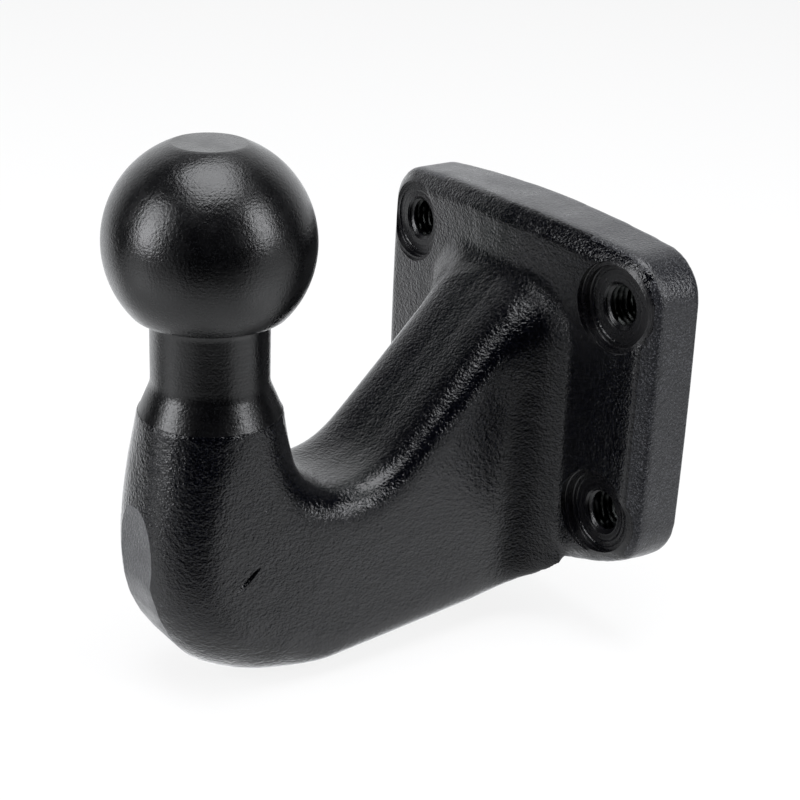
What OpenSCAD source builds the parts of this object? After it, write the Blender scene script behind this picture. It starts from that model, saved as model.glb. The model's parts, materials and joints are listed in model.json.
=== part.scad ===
// Flanged tow ball: ball, neck, bent arm and four-hole flange forged as one piece of steel.
// X runs out of the mounting face towards the vehicle, the ball stands at -X, Z is up.

/* [Ball] */
// Diameter of the coupling ball
ball_d = 50; // [40:0.5:60]
// Diameter of the turned flat on the crown of the ball
ball_flat_d = 17.6; // [6:0.1:24]
// Distance from the mounting face to the ball's axis
reach = 106; // [96:0.5:130]
// Height of the ball's centre above the middle of the bolt pattern
ball_z = 47; // [42:0.5:62]
// Depth of the ball's lower edge below its centre
ball_ledge = 16.7; // [14:0.1:18]

/* [Neck] */
// Diameter of the neck under the ball
neck_d = 28.5; // [22:0.1:30]
// Radius in the corner between the ball's ledge and the neck
ledge_r = 3.2; // [1:0.1:4]
// Depth below the ball's centre where the neck meets the cone
neck_end = 34.5; // [31:0.1:36]
// Depth below the ball's centre where the cone meets the forged shank
collar_end = 41.7; // [39:0.1:44]
// Diameter of the cone at its foot
collar_d = 34.6; // [32:0.1:38]
// Radius between the neck and the cone
cone_r = 7; // [1:0.5:10]

/* [Arm] */
// Width of the arm across its flat sides
arm_w = 38; // [36:0.5:44]
// Distance from the ball's axis to the trimmed flat on the elbow
elbow_front = 21; // [19:0.1:24]
// Depth trimmed off the front of the elbow
trim_depth = 0.6; // [0.2:0.1:1.5]
// Depth of the elbow's underside below the middle of the bolt pattern
arm_bottom = 66.4; // [60:0.1:76]
// Outside radius of the elbow
elbow_r = 34.4; // [24:0.1:38]
// Depth of the saddle between the neck and the ramp
saddle_depth = 17.6; // [10:0.1:20]
// Radius between the shank and the saddle
saddle_r = 11.6; // [6:0.1:13]
// Radius between the saddle and the ramp
ramp_foot_r = 23; // [8:1:26]
// Angle of the ramp above level
ramp_angle = 44.6; // [42:0.1:48]
// Height at which the line of the ramp meets the flange
ramp_top = 27.3; // [24:0.1:30]
// Radius between the ramp and the flange
ramp_head_r = 12; // [4:1:16]
// Angle at which the underside climbs towards the flange
bottom_climb = 4.3; // [0:0.1:6]
// Radius between the underside and the flange
climb_r = 18; // [8:1:20]
// Rounding of the arm's upper edges
arm_top_r = 7.5; // [4:0.5:10]
// Rounding of the arm's lower edges
arm_bottom_r = 8.5; // [4:0.1:12]
// Rounding of the elbow's outer edges
elbow_edge_r = 18; // [10:0.5:18]
// Crown of the arm's upper surface
arm_crown = 1.2; // [0:0.1:2]
// Crown of the arm's underside
under_crown = 0.1; // [0:0.1:2]
// Width of the arm where its flare meets the flange
flare_w = 58; // [50:0.5:62]
// Angle of the flare to the arm's flat sides
flare_angle = 57; // [45:1:65]
// Radius between the flat sides and the flare
flare_r = 14; // [4:1:16]
// Rounding of the flare's upper edges at the flange
flare_top_r = 17; // [8:0.5:20]
// Rounding of the flare's lower edges at the flange
flare_low_r = 3; // [2:0.5:10]

/* [Flange] */
// Width of the flange's rim beside the spotfaces, at its sides
side_rim = 1.8; // [1:0.1:12]
// Width of the flange's rim above and below the spotfaces
end_rim = 4.7; // [2.5:0.1:12]
// Thickness of the flange under the screw heads
flange_t = 15; // [12:0.5:18]
// Draft of the flange's front face, falling away from the arm
flange_draft = 5; // [0.5:0.5:7]
// Radius of the flange's upper corners
flange_corner_r = 11; // [7:0.5:16]
// Radius of the flange's lower corners
lower_corner_r = 13; // [7:0.5:16]
// Rounding of the flange's front edge
flange_edge_r = 2; // [1:0.5:3]
// Width of the bevel along the flange's front edge
bevel_w = 4.2; // [2:0.1:5]
// Depth of that bevel
bevel_depth = 1.9; // [1:0.1:3]
// Arch of the flange's upper edge
flange_arch = 3.6; // [0.5:0.1:6]
// Arch of the flange's lower edge
lower_arch = 2.3; // [0.2:0.1:6]
// Bulge of the flange's side edges
flange_bulge = 0.8; // [0.2:0.1:4]
// Chamfer round the mounting face
rear_chamfer = 1; // [0.5:0.1:2]

/* [Bolt holes] */
// Distance between the holes across the flange
hole_dy = 83; // [72:0.5:100]
// Distance between the holes up the flange
hole_dz = 56; // [50:0.5:68]
// Core diameter of the tapped holes
hole_d = 10.2; // [6:0.1:12.4]
// Width of the countersink at each mouth
mouth_w = 1; // [0.5:0.1:1.5]
// Diameter of the spotface round each hole
spotface_d = 23.4; // [21:0.1:28]
// Height of the spotface's rim above its floor at the outer side
spotface_rise = 1.3; // [0.5:0.1:2]
// Width of the step in the spotface's wall
step_w = 1.1; // [0.3:0.1:1.4]
// Height of that step above the spotface's floor
step_rise = 1.7; // [1:0.1:2.5]
// Distance from the spotface's wall to the washer seat sunk in its floor
seat_inset = 2.5; // [1.6:0.1:3]
// Depth of the washer seat
seat_depth = 0.3; // [0.1:0.1:0.6]

/* [Hidden] */

// The flange is as large as its bolt pattern asks for
flange_w = hole_dy + spotface_d + 2 * side_rim;
flange_h = hole_dz + spotface_d + 2 * end_rim;
// The flange's front face is two drafted halves with a soft ridge between them. This is how far
// it has fallen away from the ridge at a distance y to the side.
ridge_soft = 8;
function fall(y) = tan(flange_draft) * (norm([y, ridge_soft]) - ridge_soft);
// The middle of that face, set so that each spotface still has a rim at its outer side
face_x = -flange_t - spotface_rise - fall((hole_dy + spotface_d) / 2);
// The forged shank starts a hair wider than the turned cone
collar_z = ball_z - collar_end;
collar_r = collar_d / 2 + 0.3;
// Steps along the bend, along the flare, round each rounded edge and across each flat side
bend_n = 44;
root_n = 20;
edge_n = 8;
flat_n = 5;

// Arc that rounds the corner b of the line a, b, c, in n steps
function rounded(a, b, c, r, n = 8) =
    let (u = (a - b) / norm(a - b))
    let (v = (c - b) / norm(c - b))
    let (half = acos(u * v) / 2)
    let (middle = b + (u + v) / norm(u + v) * r / sin(half))
    let (first = b + u * r / tan(half) - middle)
    let (turn = (cross(u, v) > 0 ? -1 : 1) * (180 - 2 * half))
    [for (i = [0:n])
        let (t = turn * i / n)
        middle + [first.x * cos(t) - first.y * sin(t), first.x * sin(t) + first.y * cos(t)]];

// Length along a line of points, up to each of them
function lengths(p) =
    [for (i = 0, s = 0; i < len(p); s = s + norm(p[min(i + 1, len(p) - 1)] - p[i]), i = i + 1) s];

// Point at a share of a line's length
function along(p, share) =
    let (l = lengths(p))
    let (s = share * l[len(l) - 1])
    [lookup(s, [for (i = [0:len(p) - 1]) [l[i], p[i].x]]),
     lookup(s, [for (i = [0:len(p) - 1]) [l[i], p[i].y]])];

// The part of a line that comes before x
function before(p, x) = concat([for (q = p) if (q.x < x) q], [[x, lookup(x, p)]]);

// Half of a cross-section from top to bottom: half width w, half height h, rounded edges
function half_section(w, h, r_top, r_low) =
    let (a = min(r_top, w - 0.2, h - 0.1))
    let (b = min(r_low, w - 0.2, h - 0.1))
    concat(
        [for (i = [0:flat_n - 1]) [(w - a) * i / flat_n, h]],
        [for (i = [0:edge_n]) let (t = 90 * i / edge_n) [w - a + a * sin(t), h - a + a * cos(t)]],
        [for (i = [1:flat_n - 1]) [w, h - a - (2 * h - a - b) * i / flat_n]],
        [for (i = [0:edge_n]) let (t = 90 * i / edge_n) [w - b + b * cos(t), -h + b - b * sin(t)]],
        [for (i = [1:flat_n]) [(w - b) * (1 - i / flat_n), -h]]);

// Cross-section between a point of the upper line and one of the lower line. The two crowns
// lower its top and raise its bottom towards the sides, the bulge narrows it towards its ends,
// and the given share of the fall of the flange's front face moves its sides along X.
function ring(up, low, w, r_top, r_low, crowns, bulge = 0, share = 0) =
    let (h = norm(up - low) / 2)
    let (half = half_section(w, h, r_top, r_low))
    let (loop = concat(half, [for (i = [len(half) - 2:-1:1]) [-half[i].x, half[i].y]]))
    [for (p = loop)
        let (y = p.x * (1 - bulge / w * pow(p.y / h, 2)))
        let (v = p.y * (1 - crowns[p.y > 0 ? 0 : 1] / h * pow(p.x / w, 2)))
        let (q = (up + low) / 2 + (up - low) * v / h / 2)
        [q.x + share * fall(p.x), y, q.y]];

// Middle of a cross-section
function middle_of(r) = [for (k = [0:2]) [for (p = r) p[k]] * [for (p = r) 1] / len(r)];

// Skin over a row of cross-sections, closed at both ends round a middle point
module skin(rings) {
    per = len(rings[0]);
    last = (len(rings) - 1) * per;
    end = last + per;
    polyhedron(
        points = concat(
            [for (r = rings) each r],
            [middle_of(rings[0]), middle_of(rings[len(rings) - 1])]),
        faces = concat(
            [for (i = [0:len(rings) - 2], j = [0:per - 1])
                let (a = i * per + j)
                let (b = i * per + (j + 1) % per)
                each [[a, b + per, a + per], [a, b, b + per]]],
            [for (j = [0:per - 1]) [end, (j + 1) % per, j]],
            [for (j = [0:per - 1]) [end + 1, last + j, last + (j + 1) % per]]));
}

// Upper line of the arm in side view: shank, saddle, ramp, flange
ramp_head = [face_x, ramp_top];
ramp_foot = [face_x - (ramp_top + saddle_depth) / tan(ramp_angle), -saddle_depth];
saddle_end = [-reach + collar_r + 1, -saddle_depth];
upper_start = [-reach + collar_r, collar_z];
upper = concat(
    [upper_start],
    rounded(upper_start, saddle_end, ramp_foot, saddle_r),
    rounded(saddle_end, ramp_foot, ramp_head, ramp_foot_r),
    rounded(ramp_foot, ramp_head, ramp_head + [3, 20], ramp_head_r));

// Lower line of the arm in side view: shank, elbow, underside, flange
front_x = -reach - elbow_front - trim_depth;
lower_start = [-reach - collar_r, collar_z];
band_top = [front_x, collar_z - 28.3];
elbow_corner = [front_x, -arm_bottom - elbow_r * tan(bottom_climb)];
climb_corner = [face_x - 2, elbow_corner.y + (face_x - 2 - front_x) * tan(bottom_climb)];
lower_end = [face_x + 3, -flange_h / 2 + 0.1];
lower = concat(
    [lower_start],
    rounded(lower_start, band_top, elbow_corner, 60),
    rounded(band_top, elbow_corner, climb_corner, elbow_r, 14),
    rounded(elbow_corner, climb_corner, lower_end, climb_r),
    [lower_end]);

// Line of the arm's side in plan: flat side, flare, flange
flare_end = [face_x + fall(flare_w / 2), flare_w / 2];
flare_start = [flare_end.x - (flare_w - arm_w) / 2 / tan(flare_angle), arm_w / 2];
side = concat(
    [[-2 * reach, arm_w / 2]],
    rounded([-2 * reach, arm_w / 2], flare_start, flare_end, flare_r),
    [flare_end + [1.5, 1.5 * tan(flare_angle)]]);

// Cross-sections from the round shank, round the elbow, to the start of the flare. The first
// list pairs shares of the upper line with shares of the longer lower line.
root_x = face_x - 24;
upper_bend = before(upper, root_x);
lower_bend = before(lower, root_x);
pairs = [[0, 0], [0.1, 0.1], [0.28, 0.45], [0.42, 0.64], [0.6, 0.75], [1, 1]];
widths = [[0, collar_r], [0.2, arm_w / 2 - 0.6], [0.4, arm_w / 2]];
upper_edges = [[0, collar_r], [0.1, collar_r - 2], [0.35, arm_top_r]];
lower_edges = [[0, collar_r], [0.1, collar_r - 2], [0.35, elbow_edge_r],
    [0.52, arm_bottom_r + 1.5], [0.57, arm_bottom_r]];
bend = [for (i = [0:bend_n - 1])
    let (s = i / bend_n)
    ring(along(upper_bend, s), along(lower_bend, lookup(s, pairs)), lookup(s, widths),
        lookup(s, upper_edges), lookup(s, lower_edges), min(1, 4 * s) * [arm_crown, under_crown])];

// Cross-sections through the flare, ending inside the flange
flare = [for (i = [0:root_n])
    let (s = i / root_n)
    let (k = s * (2 - s))
    let (x = root_x + (flare_end.x + 5 - root_x) * k)
    let (w = lookup(x, side))
    let (spread = (w - arm_w / 2) / (flare_end.y - arm_w / 2))
    let (start = x - k * k * fall(w))
    ring([start, lookup(start, upper)], [start, lookup(start, lower)], w,
        arm_top_r + (flare_top_r - arm_top_r) * spread,
        arm_bottom_r + (flare_low_r - arm_bottom_r) * spread, [arm_crown, under_crown], share = k * k)];

// Outline of the flange, moved in from its edge, at a place on X
function outline(inset, x, share = 0) =
    let (w = flange_w / 2 - inset)
    let (h = flange_h / 2 - inset)
    ring([x, h], [x, -h], w, max(flange_corner_r - inset, 1), max(lower_corner_r - inset, 1),
        [min(flange_arch, h / 4), min(lower_arch, h / 4)], flange_bulge, share);

module ball() {
    r = ball_d / 2;
    flat_z = sqrt(r * r - pow(ball_flat_d / 2, 2));
    intersection() {
        sphere(r = r, $fn = 96);
        translate([0, 0, -ball_ledge])
            cylinder(r = ball_d, h = ball_ledge + flat_z);
    }
}

// Neck and cone, turned with the ball: the radii are arcs cut from the profile
module neck() {
    foot = [collar_d / 2, -collar_end];
    corner = [neck_d / 2 + ledge_r, -ball_ledge - ledge_r];
    slope = atan2(foot.x - neck_d / 2, collar_end - neck_end);
    middle = [neck_d / 2 + cone_r, -neck_end + cone_r * tan(slope / 2)];
    blend = middle - cone_r * [cos(slope), sin(slope)];
    rotate_extrude($fn = 96)
        difference() {
            polygon([[0, -ball_ledge + 2], [corner.x, -ball_ledge + 2], [corner.x, -ball_ledge],
                corner, [neck_d / 2, corner.y], [neck_d / 2, middle.y], [middle.x, middle.y],
                blend, foot, [foot.x, foot.y - 2], [0, foot.y - 2]]);
            translate(corner)
                circle(r = ledge_r, $fn = 48);
            translate(middle)
                circle(r = cone_r, $fn = 96);
        }
}

module arm() {
    skin(concat(bend, flare));
}

module flange() {
    edge_x = face_x + bevel_depth;
    turn = atan(bevel_w / bevel_depth);
    skin(concat(
        [for (inset = [flange_h / 2 - 4:-8:bevel_w + 4]) outline(inset, face_x, 1)],
        [outline(bevel_w, face_x, 1)],
        [for (i = [0:4])
            let (t = turn * (1 - i / 4))
            outline(flange_edge_r * (1 - cos(t)), edge_x + flange_edge_r * (1 - sin(t)), 1)],
        [outline(0, -rear_chamfer), outline(rear_chamfer, 0)]));
}

// Tapped hole with its countersink, stepped spotface and washer seat, along X
module bolt_hole() {
    rotate([0, 90, 0]) {
        translate([0, 0, -2 * flange_t])
            cylinder(d = hole_d, h = 3 * flange_t, $fn = 48);
        translate([0, 0, -3 * flange_t])
            cylinder(d = spotface_d, h = 2 * flange_t - step_rise, $fn = 72);
        translate([0, 0, -2 * flange_t])
            cylinder(d = spotface_d - 2 * step_w, h = flange_t, $fn = 72);
        translate([0, 0, -flange_t - 1])
            cylinder(d = spotface_d - 2 * seat_inset, h = 1 + seat_depth, $fn = 72);
        translate([0, 0, -flange_t + seat_depth - mouth_w])
            cylinder(d1 = hole_d + 4 * mouth_w, d2 = hole_d, h = 2 * mouth_w, $fn = 48);
    }
}

// Block that trims the front of the elbow flat
module elbow_trim() {
    translate([-reach - elbow_front - 20, -arm_w, -2 * arm_bottom])
        cube([20, 2 * arm_w, 2 * arm_bottom]);
}

module tow_ball() {
    color("dimgray")
        difference() {
            union() {
                arm();
                flange();
                translate([-reach, 0, ball_z]) {
                    ball();
                    neck();
                }
            }
            elbow_trim();
            for (y = [-hole_dy / 2, hole_dy / 2], z = [-hole_dz / 2, hole_dz / 2])
                translate([0, y, z])
                    bolt_hole();
        }
}

tow_ball();
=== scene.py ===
import bpy
import json
import math
from collections import Counter
from mathutils import Matrix, Vector

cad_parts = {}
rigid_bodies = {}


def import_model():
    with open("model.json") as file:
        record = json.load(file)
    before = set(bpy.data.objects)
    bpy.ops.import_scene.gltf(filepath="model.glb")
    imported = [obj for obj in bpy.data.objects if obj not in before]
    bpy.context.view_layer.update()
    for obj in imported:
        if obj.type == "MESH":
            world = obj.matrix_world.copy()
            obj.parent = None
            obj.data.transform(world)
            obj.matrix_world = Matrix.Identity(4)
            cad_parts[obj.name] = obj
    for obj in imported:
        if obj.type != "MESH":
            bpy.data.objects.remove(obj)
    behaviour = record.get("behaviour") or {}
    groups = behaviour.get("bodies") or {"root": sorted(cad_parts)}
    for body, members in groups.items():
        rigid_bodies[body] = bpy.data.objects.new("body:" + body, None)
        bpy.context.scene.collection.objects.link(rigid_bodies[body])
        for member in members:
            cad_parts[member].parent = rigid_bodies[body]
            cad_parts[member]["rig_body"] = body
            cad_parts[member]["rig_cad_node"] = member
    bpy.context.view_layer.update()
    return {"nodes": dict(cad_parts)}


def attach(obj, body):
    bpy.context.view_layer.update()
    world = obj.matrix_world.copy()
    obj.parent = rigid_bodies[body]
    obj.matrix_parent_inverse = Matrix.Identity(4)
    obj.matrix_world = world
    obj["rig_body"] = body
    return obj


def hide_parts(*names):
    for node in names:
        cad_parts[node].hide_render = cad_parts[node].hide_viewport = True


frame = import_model()
mm = 0.001
weld = {"coarse": 0.01 * mm, "fine": 0.002 * mm}  # vertices nearer than this are merged


def onlySelect(*objects):
    bpy.ops.object.select_all(action="DESELECT")
    for obj in objects:
        obj.select_set(True)
    bpy.context.view_layer.objects.active = objects[0]


def done():
    bpy.ops.object.mode_set(mode="OBJECT")


def editAll(obj, kind):
    # leaves the object in edit mode with everything selected, as vertices, edges or faces
    onlySelect(obj)
    bpy.ops.object.mode_set(mode="EDIT")
    bpy.ops.mesh.select_mode(type=kind)
    bpy.ops.mesh.select_all(action="SELECT")


def editFaces(obj, test):
    # leaves the object in edit mode with only the faces that pass the test selected
    editAll(obj, "FACE")
    bpy.ops.mesh.select_all(action="DESELECT")
    done()
    for face in obj.data.polygons:
        face.select = test(face)
    bpy.ops.object.mode_set(mode="EDIT")


def turnOutward():
    bpy.ops.mesh.select_all(action="SELECT")
    bpy.ops.mesh.normals_make_consistent(inside=False)


def applied(obj, kind, **settings):
    onlySelect(obj)
    mod = obj.modifiers.new(kind.title(), kind)
    for key, value in settings.items():
        setattr(mod, key, value)
    bpy.ops.object.modifier_apply(modifier=mod.name)


def cut(obj, tool):
    # takes the tool's shape out of the object and throws the tool away
    applied(obj, "BOOLEAN", object=tool, operation="DIFFERENCE", solver="EXACT")
    bpy.data.objects.remove(tool)


def drawnLine(name, points):
    # one vertex, drawn out along the points, left in edit mode
    bpy.ops.object.select_all(action="DESELECT")
    bpy.ops.mesh.primitive_plane_add(size=mm, location=(0, 0, 0))
    obj = bpy.context.object
    obj.name = obj.data.name = name
    editAll(obj, "VERT")
    bpy.ops.mesh.merge(type="CENTER")
    bpy.ops.transform.translate(value=points[0])
    for here, there in zip(points, points[1:]):
        bpy.ops.mesh.extrude_vertices_move(TRANSFORM_OT_translate={"value": there - here})
    bpy.ops.mesh.select_all(action="SELECT")
    return obj


def spunPiece(name, profile, centre, axis, steps):
    # the profile is drawn, then spun once round the axis
    obj = drawnLine(name, profile)
    bpy.ops.mesh.spin(steps=steps, angle=2 * math.pi, center=centre, axis=axis)
    bpy.ops.mesh.select_all(action="SELECT")
    bpy.ops.mesh.remove_doubles(threshold=weld["fine"])
    turnOutward()
    done()
    return obj


def placed(obj, x, y, z):
    onlySelect(obj)
    bpy.ops.transform.translate(value=(x * mm, y * mm, z * mm))
    bpy.ops.object.transform_apply(location=True, rotation=True, scale=True)
    return obj


# The forging is the CAD solid with its holes filled, resurfaced as one soft skin and cut crisp
# again where the real one is machined. All lengths are in millimetres.
forging = {"voxel": 0.85, "smoothing": 0.5, "armPasses": 16, "skinPasses": 3, "rampPasses": 90,
           "rampLift": 0.5, "rampRise": 0.8, "rampMiddle": -60, "cornerPasses": 25, "webPasses": 6,
           "shankTop": 5.3, "shankBlend": 3, "ballSide": -75}
# Where the skin is worked: each line of a region is a measure, the place where the work begins
# and the place where it is in full, and the weakest line counts.
regions = {
    "arm": [("x", -23, -29)],
    "shank": [("z", forging["shankTop"], forging["shankTop"] - forging["shankBlend"])],
    "ramp": [("x", -80, -74), ("x", -22, -27), ("across", 7, 10), ("overRamp", -28, -22)],
    "rampLift": [("x", -80, -74), ("x", -22, -27), ("across", 3, 15), ("overRamp", -28, -22)],
    "corner": [("z", -32, -37), ("x", -13.5, -16.5), ("x", -45, -37),
               ("across", 14, 19), ("across", 47, 42)],
    "webDepth": [("z", -34, -39)],
    "webFront": [("x", -5, -14)]}
# the web from the flare to the flange's lower edge: distance from the middle, and how far it
# lies below the CAD solid there
web = [(29, 0), (30, 0.6), (31.4, 2.0), (33.2, 2.0), (35, 1.5), (37, 1.05), (39, 0.6), (41, 0.05),
       (43, -0.6), (45, -0.9), (47, -1.05), (49, -0.8), (51, -0.2), (53.5, 0.3), (55.5, 0)]
# the flash along the elbow is sheared off, in a band that follows this line of x and z
trim = {"line": [(-126.6, -6), (-126.6, -35), (-126.1, -37.6), (-124.6, -43), (-122.1, -48.5),
                 (-118.85, -53.4), (-115.3, -57.6), (-112, -60.8)],
        "outside": [(-112, -75), (-140, -75), (-140, -6)], "halfWidth": 30}
# a mark on the near side of the arm: middle, half lengths, and its lean in degrees
nick = {"place": (-106.1, -18.75, -32.7), "size": (4.2, 1.0, 0.75), "lean": -38.5,
        "segments": 32, "rings": 16}
holes = {"across": 83, "up": 56, "floor": -15, "core": 5.1, "mouth": 6.1, "spotface": 11.7,
         "step": 10.6, "stepRise": 1.7, "seat": 9.2, "seatDepth": 0.3, "edge": 0.2, "rimEdge": 0.15,
         "behind": 2, "clear": 20, "steps": 96}
filled = {"bore": 0.1, "recess": 0.02, "front": 2}  # how far round a hole the CAD solid is filled
# an M12 thread, whose root, flank and crest end at these shares of a pitch
thread = {"pitch": 1.75, "minor": 5.15, "major": 6.05, "root": 0.22, "flank": 0.55, "crest": 0.67,
          "from": -18, "turns": 12, "steps": 32}
holePlaces = [(y, z) for y in (-holes["across"] / 2, holes["across"] / 2)
              for z in (-holes["up"] / 2, holes["up"] / 2)]


def holeDistance(point):
    return min(math.hypot(point.y - y, point.z - z) for y, z in holePlaces)


def closedCopy():
    node = frame["nodes"]["tow_ball"]
    obj = node.copy()
    obj.data = node.data.copy()
    obj.name = obj.data.name = "towBall"
    obj.parent = None
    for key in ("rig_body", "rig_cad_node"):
        if key in obj:
            del obj[key]
    bpy.context.collection.objects.link(obj)
    editAll(obj, "VERT")
    bpy.ops.mesh.remove_doubles(threshold=weld["coarse"])
    done()

    def inHole(face):
        c = face.center / mm
        away = holeDistance(c)
        return away < holes["core"] + filled["bore"] or (
            away < holes["spotface"] + filled["recess"] and c.x < holes["floor"] + filled["front"])

    editFaces(obj, inHole)
    bpy.ops.mesh.delete(type="FACE")
    bpy.ops.mesh.select_mode(type="EDGE")
    bpy.ops.mesh.select_all(action="SELECT")
    bpy.ops.mesh.fill_holes(sides=0)
    done()
    return obj


def share(c, region):
    # how far a place lies inside a region, from 0 to 1
    overRamp = c.z - forging["rampRise"] * (c.x - forging["rampMiddle"])
    measures = {"x": c.x, "across": abs(c.y), "z": c.z, "overRamp": overRamp}
    inside = min((measures[name] - none) / (full - none) for name, none, full in regions[region])
    return min(max(inside, 0), 1)


def armShare(c):
    # the arm as far as the flange, and on the ball's side as far up as the cone
    arm = share(c, "arm")
    return min(arm, share(c, "shank")) if c.x < forging["ballSide"] else arm


def webDrop(c):
    across = abs(c.y)
    for (near, here), (far, there) in zip(web, web[1:]):
        if near <= across < far:
            drop = here + (there - here) * (across - near) / (far - near)
            return drop * share(c, "webDepth") * share(c, "webFront")
    return 0


def markRegion(obj, name, shareAt):
    group = obj.vertex_groups.new(name=name)
    for v in obj.data.vertices:
        group.add([v.index], shareAt(v.co / mm), "REPLACE")


def smooth(obj, passes, group=""):
    applied(obj, "SMOOTH", factor=forging["smoothing"], iterations=passes, vertex_group=group)


def softSkin(obj):
    applied(obj, "REMESH", mode="VOXEL", voxel_size=forging["voxel"] * mm, adaptivity=0)
    markRegion(obj, "arm", armShare)
    smooth(obj, forging["armPasses"], "arm")
    smooth(obj, forging["skinPasses"])
    # the edges of the saddle and the ramp are rounded, then lifted back towards their outline
    markRegion(obj, "ramp", lambda c: share(c, "ramp"))
    smooth(obj, forging["rampPasses"], "ramp")
    for v in obj.data.vertices:
        v.co += Vector((-1, 0, 1)) * forging["rampLift"] * share(v.co / mm, "rampLift") * mm
    # the lower corners of the flare run softly into the flange
    markRegion(obj, "corner", lambda c: share(c, "corner"))
    smooth(obj, forging["cornerPasses"], "corner")
    for v in obj.data.vertices:
        v.co.z -= webDrop(v.co / mm) * mm
    smooth(obj, forging["webPasses"], "corner")
    # the ball, neck and cone come off here: they are turned afresh
    editFaces(obj, lambda face: face.center.x < forging["ballSide"] * mm)
    bpy.ops.mesh.bisect(plane_co=(0, 0, forging["shankTop"] * mm), plane_no=(0, 0, 1),
                        use_fill=True, clear_outer=True)
    done()


def spotfaceCutter():
    # x and radius along the bore, its mouth, the washer seat, the floor, the step and the spotface
    h = holes
    floorX, seatX, stepX = h["floor"], h["floor"] + h["seatDepth"], h["floor"] - h["stepRise"]
    frontX = h["floor"] - h["clear"]
    profile = [(h["behind"], 0), (h["behind"], h["core"]),
               (seatX + h["mouth"] - h["core"], h["core"]), (seatX, h["mouth"]), (seatX, h["seat"]),
               (floorX, h["seat"] + h["edge"]), (floorX, h["step"] - h["edge"]),
               (floorX - h["edge"], h["step"]), (stepX, h["step"]),
               (stepX, h["spotface"] - h["rimEdge"]), (stepX - h["rimEdge"], h["spotface"]),
               (frontX, h["spotface"]), (frontX, 0)]
    points = [Vector((x, 0, r)) * mm for x, r in profile]
    return spunPiece("spotfaceCutter", points, (0, 0, 0), (1, 0, 0), h["steps"])


def tapCutter():
    # one pitch of the thread, screwed along the hole
    t = thread
    p = t["pitch"]
    line = [(0, t["minor"]), (p * t["root"], t["minor"]), (p * t["flank"], t["major"]),
            (p * t["crest"], t["major"]), (p, t["minor"])]
    obj = drawnLine("tapCutter", [Vector((t["from"] + x, 0, r)) * mm for x, r in line])
    done()
    applied(obj, "SCREW", axis="X", angle=2 * math.pi, screw_offset=p * mm,
            iterations=t["turns"], steps=t["steps"], render_steps=t["steps"],
            use_merge_vertices=True, merge_threshold=weld["coarse"])
    editAll(obj, "EDGE")
    bpy.ops.mesh.remove_doubles(threshold=weld["coarse"])
    bpy.ops.mesh.fill_holes(sides=0)
    turnOutward()
    done()
    return obj


def fourTimes(makeCutter):
    cutters = [placed(makeCutter(), 0, y, z) for y, z in holePlaces]
    onlySelect(*cutters)
    bpy.ops.object.join()
    return bpy.context.object


def elbowTrim():
    half = trim["halfWidth"]
    line = [Vector((x, -half, z)) * mm for x, z in trim["line"] + trim["outside"]]
    obj = drawnLine("elbowTrim", line)
    bpy.ops.mesh.edge_face_add()
    bpy.ops.mesh.extrude_region_move(TRANSFORM_OT_translate={"value": (0, 2 * half * mm, 0)})
    turnOutward()
    done()
    return obj


def nickCutter():
    bpy.ops.mesh.primitive_uv_sphere_add(
        segments=nick["segments"], ring_count=nick["rings"], radius=mm, scale=nick["size"],
        location=[v * mm for v in nick["place"]], rotation=(0, math.radians(nick["lean"]), 0))
    return bpy.context.object


def closeUp(obj):
    # the cuts leave slivers, which are merged, and triangles laid twice over each other, which go
    editAll(obj, "VERT")
    bpy.ops.mesh.remove_doubles(threshold=weld["fine"])
    bpy.ops.mesh.dissolve_degenerate(threshold=weld["fine"])
    bpy.ops.mesh.select_all(action="SELECT")
    bpy.ops.mesh.quads_convert_to_tris()
    done()
    corners = [tuple(sorted(face.vertices)) for face in obj.data.polygons]
    times = Counter(corners)
    editFaces(obj, lambda face: times[corners[face.index]] > 1)
    bpy.ops.mesh.delete(type="FACE")
    done()


towBall = closedCopy()
print("closed copy:", len(towBall.data.polygons), "faces")
softSkin(towBall)
print("soft skin:", len(towBall.data.polygons), "faces")
cut(towBall, fourTimes(spotfaceCutter))
cut(towBall, fourTimes(tapCutter))
cut(towBall, elbowTrim())
cut(towBall, nickCutter())
closeUp(towBall)
print("machined:", len(towBall.data.polygons), "faces")

# The ball, its neck and its cone are turned in one. Heights are measured down from the ball's
# centre, and the last line holds the small breaks along the edges.
turnedEnd = {"axis": -106, "centre": 47, "radius": 25, "flat": 8.8, "ledge": 16.7,
             "ledgeRadius": 3.2, "neck": 14.25, "neckEnd": 34.5, "coneRadius": 7, "coneEnd": 41.7,
             "cone": 17.3, "foot": 3, "steps": 160, "ballSteps": 48, "roundSteps": 8,
             "flatRing": 0.6, "flatEdge": 0.2, "ledgeEdge": (0.3, 0.2), "coneEdge": (0.1, 0.2)}


def arc(x, z, radius, start, end, steps):
    angles = [start + (end - start) * i / steps for i in range(steps + 1)]
    return [(x + radius * math.cos(a), z + radius * math.sin(a)) for a in angles]


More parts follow.
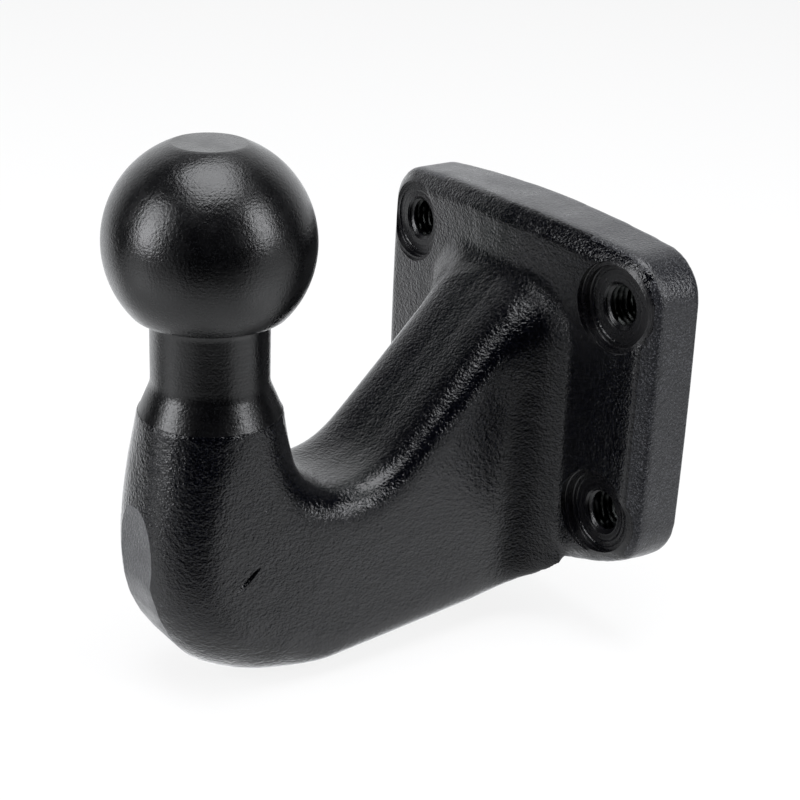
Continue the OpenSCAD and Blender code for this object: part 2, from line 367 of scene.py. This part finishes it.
def turnedProfile():
    # radius and height, from the middle of the flat down to the middle of the foot
    t = turnedEnd
    flatZ = math.sqrt(t["radius"] ** 2 - t["flat"] ** 2)
    ledgeRim = math.sqrt(t["radius"] ** 2 - t["ledge"] ** 2)
    slope = math.atan2(t["cone"] - t["neck"], t["coneEnd"] - t["neckEnd"])
    coneStart = -t["neckEnd"] + t["coneRadius"] * math.tan(slope / 2)
    footZ = -t["coneEnd"] - t["foot"]
    points = [(0, flatZ), (t["flat"] * t["flatRing"], flatZ), (t["flat"] - t["flatEdge"], flatZ)]
    points += arc(0, 0, t["radius"], math.atan2(flatZ, t["flat"]),
                  -math.atan2(t["ledge"], ledgeRim), t["ballSteps"])
    points.append((ledgeRim - t["ledgeEdge"][0], -t["ledge"] - t["ledgeEdge"][1]))
    points += arc(t["neck"] + t["ledgeRadius"], -t["ledge"] - t["ledgeRadius"], t["ledgeRadius"],
                  math.pi / 2, math.pi, t["roundSteps"])
    points += arc(t["neck"] + t["coneRadius"], coneStart, t["coneRadius"],
                  math.pi, math.pi + slope, t["roundSteps"])
    points += [(t["cone"] - t["coneEdge"][0], -t["coneEnd"] + t["coneEdge"][1]),
               (t["cone"], -t["coneEnd"]), (t["cone"], footZ), (0, footZ)]
    return [Vector((r + t["axis"], 0, z + t["centre"])) * mm for r, z in points]


ballAndNeck = spunPiece("ballAndNeck", turnedProfile(), (turnedEnd["axis"] * mm, 0, 0), (0, 0, 1),
                        turnedEnd["steps"])
print("turned end:", len(ballAndNeck.data.polygons), "faces")


# Black paint on steel: grains pressed into it, as features per metre and depth in mm, and lighter
# specks in the colour that are partly dust and partly painted glints
paints = {
    "forgedPaint": {"colour": (0.0003, 0.0004, 0.0012), "dustAndGlints": (0.008, 0.0083, 0.0105),
                    "roughness": (0.09, 0.15), "grains": ((140, 0.2), (1550, 0.165)),
                    "worm": 0.2, "squash": 1.2, "shine": 0.42},
    "platePaint": {"colour": (0.005, 0.0053, 0.0075), "dustAndGlints": (0.05, 0.051, 0.057),
                   "roughness": (0.26, 0.38), "grains": ((200, 0.06), (1500, 0.24)),
                   "worm": 0, "squash": 0.9, "shine": 0.5},
    "shearedPaint": {"colour": (0.033, 0.034, 0.037), "dustAndGlints": (0.1, 0.101, 0.106),
                     "roughness": (0.3, 0.45), "grains": ((200, 0.1), (1500, 0.24)),
                     "worm": 0, "squash": 1, "shine": 0.5},
    "turnedPaint": {"colour": (0.0003, 0.0003, 0.0007), "dustAndGlints": (0.004, 0.0042, 0.005),
                    "roughness": (0.22, 0.33), "grains": ((250, 0.018), (1600, 0.085)),
                    "worm": 0, "squash": 1, "shine": 0.5},
    "spotfacePaint": {"colour": (0.001, 0.001, 0.002), "dustAndGlints": (0.012, 0.011, 0.0115),
                      "roughness": (0.22, 0.32), "grains": ((300, 0.03), (1700, 0.07)),
                      "worm": 0, "squash": 1, "shine": 0.5}}
# What all paints share: noises as scale, detail and roughness, and where they take effect. The
# worm is a coarser grain, deepest on the shank, that fades along X, here in metres.
coat = {"grain": (2.0, 0.55), "worm": 900.0, "wormFade": (-0.1, -0.07), "wormLeft": 0.7,
        "patches": (90.0, 4.0, 0.7), "patchRange": (0.35, 0.65),
        "specks": (2600.0, 1.0, 0.6), "speckRange": (0.56, 0.66)}
# turning lines per metre and their depth in mm
turning = {"roundAxis": (1800.0, 0.035), "stretch": 0.03, "roundHoles": (1400.0, 0.2)}
# the tapped steel's colours are kept very dark: partly oiled steel, partly painted shade inside the
# bores
bareSteel = {"dark": (0.0005, 0.0006, 0.0006), "bare": (0.085, 0.09, 0.087),
             "roughness": (0.28, 0.5), "stain": (330.0, 3.0, 0.5), "stainRange": (0.44, 0.66),
             "chips": (1600.0, 0.12)}


def addNode(tree, kind, inputs={}, **settings):
    node = tree.nodes.new(kind)
    for key, value in settings.items():
        setattr(node, key, value)
    for key, value in inputs.items():
        if isinstance(value, bpy.types.NodeSocket):
            tree.links.new(value, node.inputs[key])
        else:
            node.inputs[key].default_value = value
    return node


def mathNode(tree, operation, *values):
    inputs = dict(enumerate(values))
    return addNode(tree, "ShaderNodeMath", inputs, operation=operation).outputs[0]


def mapped(tree, value, start, end, low=0.0, high=1.0, **settings):
    inputs = {"Value": value, "From Min": start, "From Max": end, "To Min": low, "To Max": high}
    return addNode(tree, "ShaderNodeMapRange", inputs, **settings).outputs["Result"]


def mixedColour(tree, factor, first, second):
    mix = addNode(tree, "ShaderNodeMix", {"Factor": factor}, data_type="RGBA")
    mix.inputs[6].default_value = (*first, 1)
    mix.inputs[7].default_value = (*second, 1)
    return mix.outputs[2]


def noise(tree, place, scale, detail, roughness):
    inputs = {"Vector": place, "Scale": scale, "Detail": detail, "Roughness": roughness}
    return addNode(tree, "ShaderNodeTexNoise", inputs).outputs["Fac"]


def noiseHeight(tree, place, scale, depth):
    # noise as a height in metres
    return mathNode(tree, "MULTIPLY", noise(tree, place, scale, *coat["grain"]), depth * mm)


def newMaterial(name):
    # a material with its node tree, its shader and the place on the object
    material = bpy.data.materials.new(name)
    material.use_nodes = True
    tree = material.node_tree
    place = addNode(tree, "ShaderNodeTexCoord").outputs["Object"]
    return material, tree, tree.nodes["Principled BSDF"], place


def bumped(tree, shader, height):
    bump = addNode(tree, "ShaderNodeBump", {"Height": height, "Distance": 1.0, "Strength": 1.0})
    tree.links.new(bump.outputs["Normal"], shader.inputs["Normal"])


def paint(name, lines=None):
    look = paints[name]
    material, tree, shader, place = newMaterial(name)
    shader.inputs["Specular IOR Level"].default_value = look["shine"]
    squash = {"Vector": place, "Scale": (1, 1, look["squash"])}
    squashed = addNode(tree, "ShaderNodeMapping", squash).outputs["Vector"]
    height = lines(tree, place) if lines else 0.0
    for scale, depth in look["grains"]:
        height = mathNode(tree, "ADD", noiseHeight(tree, squashed, scale, depth), height)
    if look["worm"]:
        worm = noiseHeight(tree, squashed, coat["worm"], look["worm"])
        x = addNode(tree, "ShaderNodeSeparateXYZ", {0: place}).outputs["X"]
        fade = mapped(tree, x, *coat["wormFade"], 1.0, coat["wormLeft"])
        height = mathNode(tree, "MULTIPLY_ADD", worm, fade, height)
    bumped(tree, shader, height)
    patches = noise(tree, place, *coat["patches"])
    rough = mapped(tree, patches, *coat["patchRange"], *look["roughness"])
    tree.links.new(rough, shader.inputs["Roughness"])
    # lighter specks in the colour: partly dust, partly painted glints standing for the sparkle of
    # the grain
    specks = mapped(tree, noise(tree, place, *coat["specks"]), *coat["speckRange"])
    colour = mixedColour(tree, specks, look["colour"], look["dustAndGlints"])
    tree.links.new(colour, shader.inputs["Base Color"])
    return material


def ringsRoundAxis(tree, place):
    # turning lines round the upright axis of the ball
    thin = {"Vector": place, "Scale": (turning["stretch"], turning["stretch"], 1)}
    thinned = addNode(tree, "ShaderNodeMapping", thin).outputs["Vector"]
    return noiseHeight(tree, thinned, *turning["roundAxis"])


def ringsRoundHoles(tree, place):
    # turning lines round each of the four holes
    parts = addNode(tree, "ShaderNodeSeparateXYZ", {0: place})
    sides = [mathNode(tree, "SUBTRACT", mathNode(tree, "ABSOLUTE", parts.outputs[axis]), half * mm)
             for axis, half in (("Y", holes["across"] / 2), ("Z", holes["up"] / 2))]
    flat = addNode(tree, "ShaderNodeCombineXYZ", {0: sides[0], 1: sides[1]}).outputs[0]
    radius = addNode(tree, "ShaderNodeVectorMath", {0: flat}, operation="LENGTH").outputs["Value"]
    along = addNode(tree, "ShaderNodeCombineXYZ", {0: radius}).outputs[0]
    return noiseHeight(tree, along, *turning["roundHoles"])


def steelThread():
    steel = bareSteel
    material, tree, shader, place = newMaterial("tappedSteel")
    shader.inputs["Metallic"].default_value = 1.0
    stain = noise(tree, place, *steel["stain"])
    bare = mapped(tree, stain, *steel["stainRange"])
    # both steel colours are darkened, partly as painted shade inside the bores, and mixed in random
    # patches
    colour = mixedColour(tree, bare, steel["dark"], steel["bare"])
    tree.links.new(colour, shader.inputs["Base Color"])
    rough = mapped(tree, stain, 0.0, 1.0, *steel["roughness"])
    tree.links.new(rough, shader.inputs["Roughness"])
    bumped(tree, shader, noiseHeight(tree, place, *steel["chips"]))
    return material


# where each paint lies on the forging, in millimetres and as parts of a face's normal
surfaces = {"threadFrom": 2.2, "slack": 0.1, "spotfaceSlack": 0.05, "spotfaceFront": -24,
            "floorFront": -17.5, "sideFront": -16.6, "edgeFront": -19, "facing": 0.7,
            "upright": 0.3, "edgeUpright": 0.8, "level": 0.002, "onLine": 0.004, "pastEnd": 0.02,
            "rimAcross": 51, "rimUp": 39, "rimUpFrom": 30}


def onTrimLine(place):
    here, past = Vector((place.x, place.z)), surfaces["pastEnd"]
    for a, b in zip(trim["line"], trim["line"][1:]):
        start, step = Vector(a), Vector(b) - Vector(a)
        along = (here - start).dot(step) / step.length_squared
        away = (here - start - step * along).length
        if -past < along < 1 + past and away < surfaces["onLine"]:
            return True
    return False


def sheared(face):
    return abs(face.normal.y) < surfaces["level"] and onTrimLine(face.center / mm)


def onFlangeSide(c, n):
    s = surfaces
    rim = abs(c.y) > s["rimAcross"] or abs(c.z) > s["rimUp"] and abs(c.y) > s["rimUpFrom"]
    side = c.x > s["sideFront"] and abs(n.x) < s["upright"]
    return side or c.x > s["edgeFront"] and abs(n.x) < s["edgeUpright"] and rim


def surfaceOf(face):
    c, n, s = face.center / mm, face.normal, surfaces
    away = holeDistance(c)
    if away < thread["major"] + s["slack"] and c.x > holes["floor"] + s["threadFrom"]:
        return "thread"
    if sheared(face):
        return "sheared"
    floorOrWall = (n.x < -s["facing"] and c.x > s["floorFront"]
                   or away > holes["step"] - s["slack"] and abs(n.x) < s["upright"])
    inSpotface = away < holes["spotface"] + s["spotfaceSlack"] and c.x > s["spotfaceFront"]
    if inSpotface and floorOrWall:
        return "spotface"
    return "flangeSide" if onFlangeSide(c, n) else "forged"


looks = {"forged": paint("forgedPaint"), "flangeSide": paint("platePaint"),
         "spotface": paint("spotfacePaint", ringsRoundHoles), "thread": steelThread(),
         "sheared": paint("shearedPaint")}
slots = {name: i for i, name in enumerate(looks)}
towBall.data.materials.clear()
for material in looks.values():
    towBall.data.materials.append(material)
for face in towBall.data.polygons:
    face.material_index = slots[surfaceOf(face)]
ballAndNeck.data.materials.append(paint("turnedPaint", ringsRoundAxis))

# the sheared band on the elbow keeps its crisp edges
editFaces(towBall, sheared)
bpy.ops.mesh.region_to_loop()
bpy.ops.mesh.mark_sharp()
done()
sharpFrom = 28  # edges that turn by more degrees than this are crisp
for piece in (towBall, ballAndNeck):
    onlySelect(piece)
    bpy.ops.object.shade_smooth_by_angle(angle=math.radians(sharpFrom), keep_sharp_edges=True)
    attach(piece, "root")
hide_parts("tow_ball")
print("painted:", [m.name for m in towBall.data.materials])


# Studio: pale floor, three soft lamps, and a room that is white behind the object and dark
# towards the camera
studio = {"floor": -67.5, "floorSize": 12, "floorColour": (0.9, 0.9, 0.9, 1), "floorGlow": 0.85,
          "lampTint": (0.965, 0.975, 1.0), "roomTint": (0.775, 0.785, 0.8), "roomLight": 0.005}
lamps = {
    "left": {"toward": (-0.93, 0.167, 0.325), "distance": 1.0, "size": (0.42, 0.7), "power": 8},
    "right": {"toward": (0.49, -0.76, 0.43), "distance": 1.0, "size": (0.3, 0.65), "power": 5.5},
    "top": {"toward": (-0.02, -0.1, 0.995), "distance": 1.0, "size": (0.8, 0.8), "power": 13}}
# where the room is bright: compass angle, height angle, full inside, gone outside, strength
room = {"below": (0, -90, 30, 78, 1.1), "behind": (58, 0, 30, 71, 1.62),
        "rightLow": (-50, -24, 12, 36, 1.1), "leftLow": (-178, -24, 8, 34, 0.66),
        "backLeft": (156, -22, 6, 24, 1.1), "backFar": (112, -21, 8, 19, 0.8)}
camera = {"place": (-301.82, -341.21, 173.78), "back": (-0.54776, -0.74144, 0.38759),
          "right": (0.80434, -0.59417, 0), "roll": 2.402, "lens": 80.04, "sensor": 36}


def softbox(name, toward, distance, size, power):
    target = Vector((turnedEnd["axis"] * mm, 0, turnedEnd["centre"] * mm))
    place = target + Vector(toward).normalized() * distance
    bpy.ops.object.light_add(type="AREA", location=place)
    lamp = bpy.context.object
    lamp.name = name
    lamp.rotation_euler = (target - place).to_track_quat("-Z", "Y").to_euler()
    lamp.data.shape = "RECTANGLE"
    lamp.data.size, lamp.data.size_y = size
    lamp.data.energy = power
    lamp.data.color = studio["lampTint"]
    lamp.visible_camera = False


def whiteFloor():
    # matt, with a glow for the camera, and clear to mirrored rays
    material = bpy.data.materials.new("whiteFloor")
    material.use_nodes = True
    tree = material.node_tree
    tree.nodes.clear()
    path = addNode(tree, "ShaderNodeLightPath").outputs
    glowing = mathNode(tree, "MULTIPLY", path["Is Camera Ray"], studio["floorGlow"])
    matt = addNode(tree, "ShaderNodeBsdfDiffuse", {"Color": studio["floorColour"]}).outputs[0]
    glow = addNode(tree, "ShaderNodeEmission").outputs[0]
    clear = addNode(tree, "ShaderNodeBsdfTransparent").outputs[0]
    seen = addNode(tree, "ShaderNodeMixShader", {0: glowing, 1: matt, 2: glow}).outputs[0]
    mirrored = addNode(tree, "ShaderNodeMixShader", {0: path["Is Glossy Ray"], 1: seen, 2: clear})
    addNode(tree, "ShaderNodeOutputMaterial", {"Surface": mirrored.outputs[0]})
    return material


def studioWorld():
    world = bpy.data.worlds.new("studioWorld")
    bpy.context.scene.world = world
    world.use_nodes = True
    tree = world.node_tree
    tree.nodes.clear()
    place = addNode(tree, "ShaderNodeTexCoord").outputs["Generated"]
    light = studio["roomLight"]
    for around, up, inner, outer, strength in room.values():
        a, e = math.radians(around), math.radians(up)
        toward = (math.cos(a) * math.cos(e), math.sin(a) * math.cos(e), math.sin(e))
        near = addNode(tree, "ShaderNodeVectorMath", {0: place, 1: toward}, operation="DOT_PRODUCT")
        patch = mapped(tree, near.outputs["Value"], math.cos(math.radians(outer)),
                       math.cos(math.radians(inner)), 0.0, strength,
                       interpolation_type="SMOOTHSTEP")
        light = mathNode(tree, "ADD", patch, light)
    toCamera = addNode(tree, "ShaderNodeLightPath").outputs["Is Camera Ray"]
    white = addNode(tree, "ShaderNodeMix", {0: toCamera, 2: light, 3: 1.0}, data_type="FLOAT")
    colour = mixedColour(tree, toCamera, studio["roomTint"], (1, 1, 1))
    background = addNode(tree, "ShaderNodeBackground",
                         {"Color": colour, "Strength": white.outputs[0]})
    addNode(tree, "ShaderNodeOutputWorld", {"Surface": background.outputs[0]})


for name, values in lamps.items():
    softbox(name, **values)
bpy.ops.mesh.primitive_plane_add(size=studio["floorSize"], location=(0, 0, studio["floor"] * mm))
floor = bpy.context.object
floor.name = "floor"
floor.data.materials.append(whiteFloor())
studioWorld()

back, right = Vector(camera["back"]), Vector(camera["right"])
up = back.cross(right).normalized()
roll = math.radians(camera["roll"])
side = math.cos(roll) * right + math.sin(roll) * up
top = -math.sin(roll) * right + math.cos(roll) * up
bpy.ops.object.camera_add(location=Vector(camera["place"]) * mm,
                          rotation=Matrix((side, top, back)).transposed().to_euler())
viewer = bpy.context.object
viewer.data.lens = camera["lens"]
viewer.data.sensor_width = camera["sensor"]
bpy.context.scene.camera = viewer
bpy.context.scene.view_settings.view_transform = "Standard"
print("studio ready")
